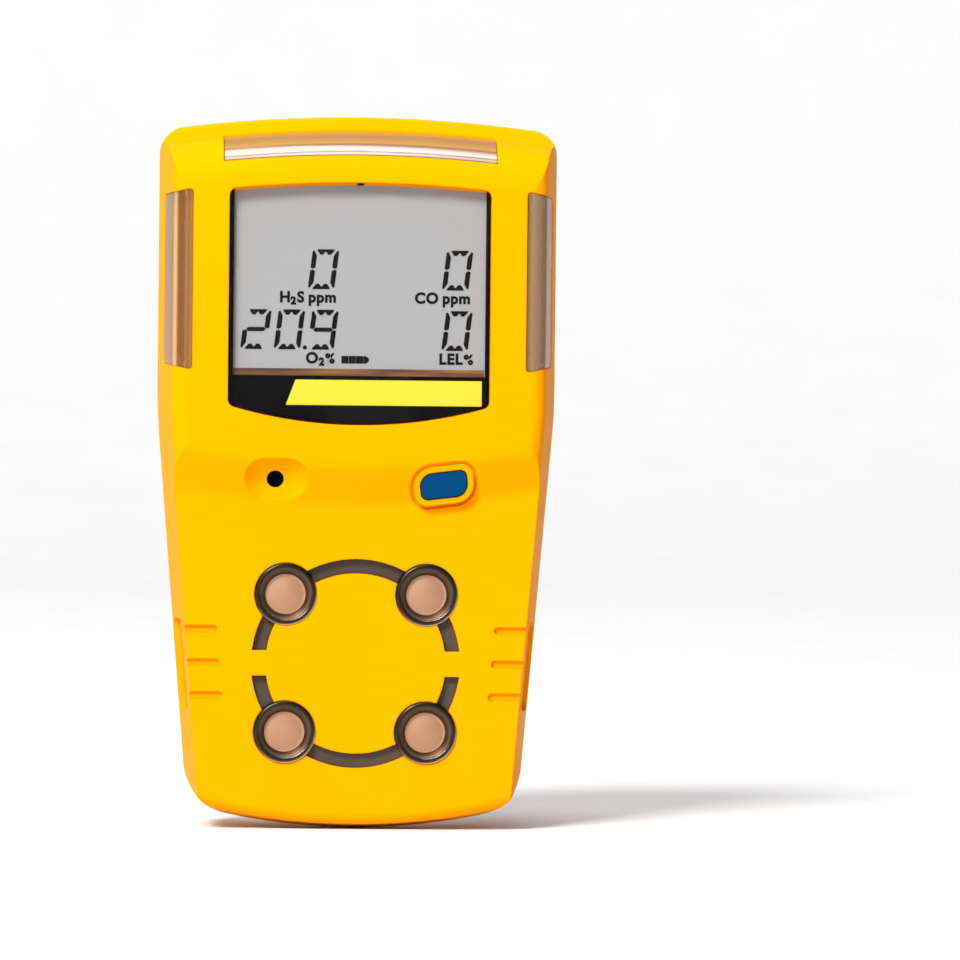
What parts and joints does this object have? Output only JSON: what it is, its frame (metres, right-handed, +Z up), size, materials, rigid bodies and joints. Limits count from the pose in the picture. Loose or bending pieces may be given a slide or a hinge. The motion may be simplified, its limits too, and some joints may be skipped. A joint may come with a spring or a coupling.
{
  "type": "portable gas detector",
  "caption": "Pocket gas detector with arched display window, alarm light bars, sensor ports joined by a ring channel, push button and sprung alligator clip on the back",
  "frame": {"origin": "bottom centre of the whole detector's bounding box, clip included", "axes": "+Z up along the long side, +X to the right of someone facing the display, the display faces -Y and the clip is on the +Y side"},
  "size_m": [0.0632, 0.0395, 0.1128],
  "materials": {
    "yellow_shell": "satin moulded polycarbonate, fine spark texture",
    "window_glaze": "clear glossy polycarbonate",
    "black_mask": "black printed border",
    "lcd": "grey reflective liquid crystal display",
    "white_plastic": "white moulding",
    "lens_amber": "amber tinted clear polycarbonate",
    "reflector_silver": "metallised tray",
    "clear_pipe": "clear light pipe",
    "blue_plastic": "blue keypad plastic",
    "board_green": "solder mask",
    "chip_black": "moulded chip package",
    "dark_rubber": "dark elastomer",
    "grey_strip": "dark grey moulding",
    "battery_wrap": "battery wrap",
    "foam": "closed-cell foam",
    "brass": "turned brass",
    "steel": "stainless steel",
    "nickel_sheet": "nickel-plated pressed steel",
    "gunmetal": "dark plated ring",
    "copper_mesh": "sintered bronze disc",
    "label_print": "plain printed label"
  },
  "bodies": {
    "case": {"front_shell": "yellow_shell", "rear_shell": "yellow_shell", "case_seal": "dark_rubber", "rear_label": "label_print", "case_screws": "steel", "case_inserts": "brass", "display_window": "window_glaze", "display_mask": "black_mask", "lcd_glass": "lcd", "lcd_backlight": "white_plastic", "lcd_connector": "dark_rubber", "display_holder": "white_plastic", "top_alarm_lens": "lens_amber", "right_alarm_lens": "lens_amber", "left_alarm_lens": "lens_amber", "top_reflector": "reflector_silver", "right_reflector": "reflector_silver", "left_reflector": "reflector_silver", "light_pipes": "clear_pipe", "alarm_leds": "white_plastic", "main_board": "board_green", "board_screws": "steel", "main_controller": "chip_black", "power_controller": "chip_black", "sensor_board": "board_green", "board_link": "chip_black", "battery": "battery_wrap", "battery_pad": "foam", "battery_terminals": "brass", "motor_can": "steel", "motor_boot": "dark_rubber", "switch_body": "chip_black", "sounder": "chip_black", "sounder_seal": "dark_rubber", "sensor_rings": "gunmetal", "sensor_filters": "copper_mesh", "sensor_gasket": "dark_rubber", "sensor_carrier": "grey_strip", "channel_strips": "grey_strip", "side_window": "window_glaze", "charging_contacts": "steel", "clip_plate": "nickel_sheet", "clip_strap": "nickel_sheet", "clip_rivet": "steel", "clip_spring": "steel", "clip_screw": "steel", "clip_washer": "steel", "clip_insert": "brass", "carbon_monoxide_sensor": "white_plastic", "hydrogen_sulphide_sensor": "white_plastic", "oxygen_sensor": "white_plastic", "combustible_gas_sensor": "steel"},
    "button": {"power_button": "blue_plastic"},
    "plunger": {"switch_plunger": "white_plastic"},
    "jaw": {"clip_jaw": "nickel_sheet"},
    "weight": {"motor_weight": "steel"}
  },
  "joints": [
    {"name": "button_press", "type": "slide", "parent": "case", "child": "button", "axis": [0, 1, 0], "range_m": [0, 0.0005], "stiffness_N_per_m": 3000, "springref_m": -0.0001},
    {"name": "plunger_press", "type": "slide", "parent": "case", "child": "plunger", "axis": [0, 1, 0], "range_m": [0, 0.0005]},
    {"name": "jaw_opening", "type": "hinge", "parent": "case", "child": "jaw", "pos_m": [0, 0.01425, 0.0856], "axis": [1, 0, 0], "range_deg": [0, 22], "stiffness_Nm_per_rad": 0.06, "springref_deg": -28.65, "deforming": ["clip_spring"]},
    {"name": "weight_spin", "type": "hinge", "parent": "case", "child": "weight", "pos_m": [0, -0.00405, 0.055], "axis": [1, 0, 0], "continuous": true}
  ],
  "couplings": [
    {"joint": "plunger_press", "follows": "button_press", "ratio": 1}
  ]
}
